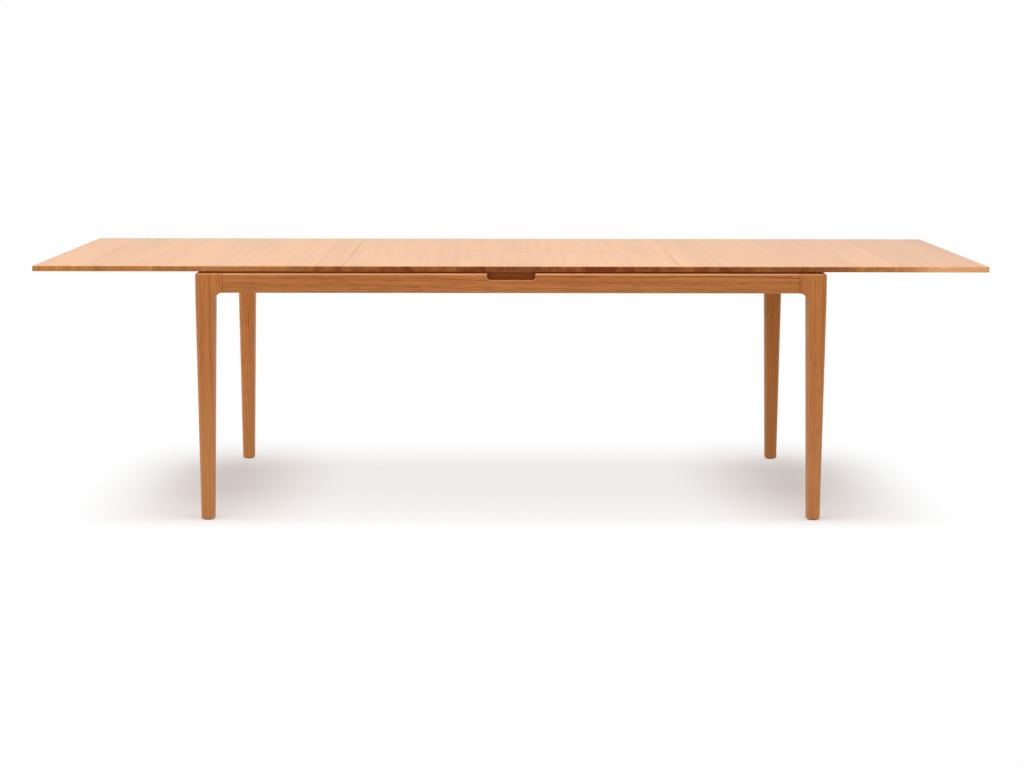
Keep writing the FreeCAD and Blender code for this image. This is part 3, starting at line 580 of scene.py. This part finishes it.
def metal(name, kind):
    """A metal with fine lines in one direction, dull patches and worn edges."""
    finish = new_finish(name)
    place = [part * lines for part, lines in zip(finish.split(finish.place()), kind.lines)]
    brushed = finish.noise(finish.point(*place), BRUSH_DETAIL, METAL_UNEVENNESS)
    patch = finish.rise(finish.grains(PATCHES_PER_METRE, PATCH_DETAIL, METAL_UNEVENNESS), *PATCH_BAND)
    colour = finish.mix(patch * PATCH_SHARE + brushed.centred() * BRUSH_SHARE, kind.bright, kind.dull)
    colour = finish.mix(finish.edge() * WORN_SHARE, colour, kind.worn)
    roughness = kind.rough + brushed.centred() * BRUSH_ROUGHNESS + patch * PATCH_ROUGHNESS
    relief = finish.bump(brushed, BRUSH_DEPTH, BRUSH_STRENGTH)
    return finish.surface(Base_Color=colour, Roughness=roughness, Normal=relief, Metallic=1.0)


def moulded(name, kind):
    """Plastic or rubber from a mould, with a fine grain and marks of use."""
    finish = new_finish(name)
    grain = finish.grains(kind.grains, GRAIN_DETAIL)
    marks = finish.rise(finish.grains(kind.marks, kind.detail, kind.uneven), *kind.band)
    colour = finish.mix(marks * MARK_SHARE, kind.tone, kind.marked)
    roughness = kind.rough + grain * GRAIN_ROUGHNESS
    relief = finish.bump(grain, kind.depth)
    return finish.surface(Base_Color=colour, Roughness=roughness, Normal=relief, IOR=kind.ior)


def felt():
    """Pressed felt, a tangle of hairs that lie along X and along Y."""
    finish = new_finish("pressed_felt")
    x, y, z = finish.split(finish.place())
    depth = z * HAIRS_THROUGH
    hair = finish.noise(finish.point(x * HAIRS_ACROSS, y * HAIRS_ALONG, depth), HAIR_DETAIL, HAIR_UNEVENNESS)
    cross_hair = finish.noise(finish.point(x * HAIRS_ALONG, y * HAIRS_ACROSS, depth), HAIR_DETAIL,
                              HAIR_UNEVENNESS)
    tangle = hair.math("MAXIMUM", hair, cross_hair)
    colour = finish.mix(finish.rise(tangle, *HAIR_BAND), *FELT_TONES)
    roughness = FELT_ROUGHNESS + tangle * (1 - FELT_ROUGHNESS)
    relief = finish.bump(tangle, FELT_DEPTH)
    return finish.surface(Base_Color=colour, Roughness=roughness, Normal=relief,
                          Sheen_Weight=FELT_SHEEN, Sheen_Roughness=FELT_SHEEN_ROUGHNESS)


# New pieces

def solids(node):
    """The points of each separate solid in a node."""
    shell = bmesh.new()
    shell.from_mesh(frame["nodes"][node].data)
    bmesh.ops.remove_doubles(shell, verts=shell.verts, dist=WELD)
    seen = set()
    groups = []
    for start in shell.verts:
        if start in seen:
            continue
        seen.add(start)
        group = [start]
        for vert in group:
            for edge in vert.link_edges:
                other = edge.other_vert(vert)
                if other not in seen:
                    seen.add(other)
                    group.append(other)
        groups.append([vert.co.copy() for vert in group])
    shell.free()
    return groups


def extent(points):
    """Lowest and highest corner of some points."""
    low = Vector(map(min, zip(*points)))
    high = Vector(map(max, zip(*points)))
    return low, high


def standing(at, way):
    """A placing that takes +Z to a direction and the origin to a point."""
    return Matrix.Translation(at) @ way.to_track_quat("Z", "Y").to_matrix().to_4x4()


def add_skin(shell, rings, first_tip, last_tip, placing):
    """A closed skin over a stack of rings, with a point at each end."""
    loops = [[shell.verts.new(placing @ point) for point in ring] for ring in rings]
    first = shell.verts.new(placing @ first_tip)
    last = shell.verts.new(placing @ last_tip)
    count = len(loops[0])
    for here in range(count):
        after = (here + 1) % count
        shell.faces.new((first, loops[0][after], loops[0][here]))
        shell.faces.new((last, loops[-1][here], loops[-1][after]))
        for lower, upper in zip(loops, loops[1:]):
            shell.faces.new((lower[here], lower[after], upper[after], upper[here]))


def new_piece(name, shell, finish, sharp):
    """An object from a shell, smooth apart from edges sharper than an angle in degrees."""
    bmesh.ops.recalc_face_normals(shell, faces=shell.faces)
    mesh = bpy.data.meshes.new(name)
    shell.to_mesh(mesh)
    shell.free()
    mesh.shade_smooth()
    mesh.set_sharp_from_angle(angle=math.radians(sharp))
    mesh.materials.append(finish)
    piece = bpy.data.objects.new(name, mesh)
    bpy.context.scene.collection.objects.link(piece)
    return piece


def stand_for(piece, node):
    """A piece that moves with a node's body and shows in its place."""
    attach(piece, frame["nodes"][node]["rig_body"])
    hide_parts(node)
    return piece


class ScrewSize:
    """Place and size of one screw, read from its solid."""

    def __init__(self, points):
        low, high = extent(points)
        size = high - low
        axis = max(range(3), key=lambda k: size[k])
        sides = [k for k in range(3) if k != axis]
        middle = (low + high) / 2
        self.length = size[axis]
        self.head_radius = max(size[k] for k in sides) / 2

        def off_axis(point):
            return math.hypot(*(point[k] - middle[k] for k in sides))

        inside = HEAD_RIM_SHARE * self.head_radius
        rim = [point for point in points if off_axis(point) > inside]
        shank = [point for point in points if off_axis(point) < inside]
        self.shank_radius = max(off_axis(point) for point in shank)
        heads_up = sum(point[axis] for point in rim) / len(rim) > middle[axis]
        self.way = Vector((0, 0, 0))
        self.way[axis] = -1 if heads_up else 1
        self.at = middle - self.way * self.length / 2
        self.head_height = extent(rim)[1][axis] - extent(rim)[0][axis]


def cross_outline(reach, half):
    """The twelve corners of a cross."""
    corners = []
    for quarter in range(4):
        turn = Matrix.Rotation(quarter * math.pi / 2, 3, "Z")
        for x, y in ((reach, -half), (reach, half), (half, half)):
            corners.append(turn @ Vector((x, y, 0)))
    return corners


def add_screw(shell, size):
    """A flat-headed wood screw with a cross recess, a rolled thread and a point."""
    cross = cross_outline(size.head_radius * RECESS_REACH_SHARE, RECESS_HALF)
    turns = [math.atan2(corner.y, corner.x) for corner in cross]

    def ring(level, radius):
        return [Vector((radius(turn) * math.cos(turn), radius(turn) * math.sin(turn), level))
                for turn in turns]

    def round_ring(level, radius):
        return ring(level, lambda turn: radius)

    recess_foot = [corner * RECESS_FOOT_SHARE + Vector((0, 0, RECESS_DEPTH)) for corner in cross]
    head = [recess_foot, cross, round_ring(0, size.head_radius - HEAD_RIM),
            round_ring(HEAD_RIM, size.head_radius), round_ring(size.head_height, size.head_radius),
            round_ring(size.head_height, size.shank_radius)]
    root = size.shank_radius * THREAD_ROOT_SHARE
    start = size.head_height + (size.length - size.head_height) * THREAD_START_SHARE
    steps = int((size.length - start) / THREAD_PITCH * THREAD_STEPS)
    thread = [round_ring(start, size.shank_radius)]
    for step in range(1, steps):
        level = start + step * THREAD_PITCH / THREAD_STEPS
        taper = min(1.0, (size.length - level) / POINT_LENGTH)

        def ridge(turn):
            phase = (level / THREAD_PITCH - turn / (2 * math.pi)) % 1
            rise = max(0.0, 1 - abs(phase - RIDGE_MIDDLE) / RIDGE_HALF)
            return taper * (root + (size.shank_radius - root) * rise)

        thread.append(ring(level, ridge))
    add_skin(shell, head + thread, Vector((0, 0, RECESS_DEPTH)), Vector((0, 0, size.length)),
             standing(size.at, size.way))


def dress_screws(node, finish):
    """Wood screws with cross recesses."""
    shell = bmesh.new()
    for points in solids(node):
        add_screw(shell, ScrewSize(points))
    return stand_for(new_piece("cross_head_" + node, shell, finish, SCREW_SHARP), node)


def ripple(turn, middle):
    """An uneven wave round a rim, from -1 to 1, that differs from place to place."""
    first = math.sin(PAD_WAVES[0] * turn + middle.x * PAD_WAVE_SHIFTS[0])
    second = math.sin(PAD_WAVES[1] * turn + middle.y * PAD_WAVE_SHIFTS[1])
    return first * second


def add_disc(shell, points, axis, way, profile, wave):
    """A turned disc in the space of a solid, with a rim that waves by a share of its radius."""
    low, high = extent(points)
    middle = (low + high) / 2
    height = high[axis] - low[axis]
    radius = (high - low)[(axis + 1) % 3] / 2
    direction = Vector((0, 0, 0))
    direction[axis] = way
    foot = middle - direction * height / 2
    rings = []
    for radius_share, height_share in profile:
        ring = []
        for column in range(PAD_COLUMNS):
            turn = column * 2 * math.pi / PAD_COLUMNS
            reach = radius * radius_share * (1 - wave * (1 + ripple(turn, middle)))
            ring.append(Vector((reach * math.cos(turn), reach * math.sin(turn), height * height_share)))
        rings.append(ring)
    top = Vector((0, 0, height * profile[-1][1]))
    add_skin(shell, rings, Vector((0, 0, 0)), top, standing(foot, direction))


def dress_pads(node, finish):
    """Felt discs with soft, uneven rims."""
    shell = bmesh.new()
    for points in solids(node):
        add_disc(shell, points, axis=2, way=1, profile=FELT_PROFILE, wave=PAD_WAVE_SHARE)
    pads = stand_for(new_piece("felt_" + node, shell, finish, PAD_SHARP), node)
    return pads


def dress_stops(node, finish):
    """Domed stops that point to the middle of the table."""
    shell = bmesh.new()
    for points in solids(node):
        inward = -1 if points[0].x > 0 else 1
        add_disc(shell, points, axis=0, way=inward, profile=STOP_PROFILE, wave=0.0)
    return stand_for(new_piece("domed_" + node, shell, finish, PAD_SHARP), node)


def coat(nodes, finish):
    """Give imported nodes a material."""
    for node in nodes:
        frame["nodes"][node].material_slots[0].material = finish


# Dress the table

TOP_WORK = {"board": TOP_BOARD, "gloss": 0.28, "figure": 0.22, "shine": 0.34, "depth": 0.000002}
coat(["left_top_panel", "right_top_panel"],
     cherry("cherry_top_boards", "YXZ", TOP_TONES, [LEAF_SEAM], **TOP_WORK))
coat(["leaf_back_panel", "leaf_front_panel"],
     cherry("cherry_leaf_boards", "YXZ", TOP_TONES, [LEAF_SEAM, FOLD_SEAM], **TOP_WORK))
coat(["front_left_leg", "front_right_leg"], cherry("cherry_upright", "ZXY", FRAME_TONES, LEG_JOINTS))
# The back legs get copies of the legs' cherry: painted light on the back left, painted shade on the back
# right
coat(["back_left_leg"], cherry("pale_cherry_upright_painted_light", "ZXY", PALE_LEG_TONES_PAINTED_LIGHT, LEG_JOINTS))
coat(["back_right_leg"], cherry("dark_cherry_upright_painted_shade", "ZXY", DARK_LEG_TONES_PAINTED_SHADE, LEG_JOINTS))
coat(["front_apron", "back_apron"], cherry("cherry_long", "XZY", FRAME_TONES, [LONG_JOINT], figure=1.5))
coat(["left_apron", "right_apron"], cherry("cherry_cross", "YZX", FRAME_TONES, [END_JOINT]))
# the rails' darker cherry holds painted shade for the notch and the gap
coat(["front_rail", "back_rail"], cherry("cherry_rails_painted_shade", "XZY", RAIL_TONES_DARKENED_FOR_SHADE, [LONG_JOINT], gloss=0.5))

coat(["left_front_runner", "left_back_runner", "right_front_runner", "right_back_runner",
      "gear_bearer", "front_rack_guide", "back_rack_guide", "left_rack_block",
      "right_rack_block"], maple("maple_long", "XYZ"))
coat(["left_cross_rail", "right_cross_rail"], maple("maple_cross", "YXZ"))

coat(["drive_pinion", "left_rack", "right_rack", "pinion_axle"], metal("machined_steel", MACHINED_STEEL))
coat(["front_arm_shaft", "front_left_arm", "front_right_arm", "rear_arm_shaft", "rear_left_arm",
      "rear_right_arm", "left_bearing_plate", "right_bearing_plate", "left_leaf_bracket",
      "right_leaf_bracket", "leaf_pivot_pins"], metal("satin_steel", SATIN_STEEL))
coat(["leaf_back_hinges", "leaf_front_hinges"], metal("satin_brass", SATIN_BRASS))
coat(["floor_glides"], moulded("moulded_nylon", NYLON))

zinc = metal("zinc_plate", ZINC_PLATE)
for group in ("rail_screws", "bearer_screws", "guide_screws", "plate_screws", "left_runner_screws",
              "right_runner_screws", "left_rack_screws", "right_rack_screws", "leaf_bracket_screws"):
    dress_screws(group, zinc)
pad_felt = felt()
for group in ("rail_pads", "end_pads"):
    dress_pads(group, pad_felt)
dress_stops("runner_bumpers", moulded("black_rubber", RUBBER))


# Floor, light and camera

def seen_directly(finish):
    """1 for what the camera sees, also in a mirror or through glass."""
    path = finish.node("LightPath")
    return path.out("Is Camera Ray") + path.out("Is Glossy Ray") + path.out("Is Transmission Ray")


def floor():
    """A pale floor that is white to the eye and keeps the shadow."""
    shell = bmesh.new()
    corners = [shell.verts.new((x * FLOOR_HALF, y * FLOOR_HALF, 0))
               for x, y in ((-1, -1), (1, -1), (1, 1), (-1, 1))]
    shell.faces.new(corners)
    finish = new_finish("studio_floor")
    matt = finish.node("BsdfDiffuse", {}, {"Color": grey(FLOOR_GREY)})
    seen = finish.node("BsdfDiffuse", {}, {"Color": grey(FLOOR_SEEN_GREY)})
    glow = finish.node("Emission", {}, {"Color": WHITE, "Strength": FLOOR_GLOW})
    shaded = finish.node("AddShader", {}, {0: seen, 1: glow})
    white = finish.node("Emission", {}, {"Color": WHITE, "Strength": 1.0})
    x, y, z = finish.split(finish.place())
    near = finish.rise(abs(x), *SHADOW_SIDE_FADE)
    near = near * finish.rise(y, *SHADOW_FRONT_FADE) * finish.rise(y, *SHADOW_BACK_FADE)
    # painted light: white glow lightens the floor's shadow under the middle of the table
    near = near * (1 - finish.rise(abs(x), *SHADOW_MIDDLE_FADE) * SHADOW_MIDDLE_SHARE)
    lit = finish.node("MixShader", {}, {0: near, 1: white, 2: shaded})
    shown = finish.node("MixShader", {}, {0: seen_directly(finish), 1: matt, 2: lit})
    finish.node("OutputMaterial", {}, {"Surface": shown})
    ground = new_piece("studio_floor", shell, finish.owner, FLOOR_SHARP)


def sky():
    """Even light from all round, in front of a white backdrop."""
    world = bpy.data.worlds.new("studio")
    bpy.context.scene.world = world
    finish = Finish(world)
    soft = finish.node("Background", {}, {"Color": WHITE, "Strength": SKY_LEVEL})
    white = finish.node("Background", {}, {"Color": WHITE, "Strength": 1.0})
    shown = finish.node("MixShader", {}, {0: seen_directly(finish), 1: soft, 2: white})
    finish.node("OutputWorld", {}, {"Surface": shown})


def softbox(name, place, size, power, target, mirrored):
    """A large soft lamp. One that isn't mirrored leaves reflections to the white surroundings."""
    lamp = bpy.data.lights.new(name, "AREA")
    lamp.shape = "RECTANGLE"
    lamp.size, lamp.size_y = size
    lamp.energy = power
    box = bpy.data.objects.new(name, lamp)
    bpy.context.scene.collection.objects.link(box)
    box.location = place
    box.rotation_euler = (Vector(target) - box.location).to_track_quat("-Z", "Y").to_euler()
    box.visible_camera = False
    box.visible_glossy = mirrored


def camera():
    """The camera of the photo, which looks down a little on the table's front."""
    eye = bpy.data.objects.new("camera", bpy.data.cameras.new("camera"))
    bpy.context.scene.collection.objects.link(eye)
    eye.location = CAMERA_PLACE
    turn = Matrix.Rotation(math.radians(CAMERA_TURN), 3, "Z")
    tilt = Matrix.Rotation(math.radians(90 - CAMERA_DIP), 3, "X")
    roll = Matrix.Rotation(math.radians(CAMERA_ROLL), 3, "Z")
    eye.rotation_euler = (turn @ tilt @ roll).to_euler()
    eye.data.lens = CAMERA_LENS
    eye.data.shift_y = CAMERA_SHIFT_UP
    bpy.context.scene.camera = eye


floor()
sky()
for setting in SOFTBOXES:
    softbox(*setting)
camera()
bpy.context.scene.view_settings.view_transform = "Standard"
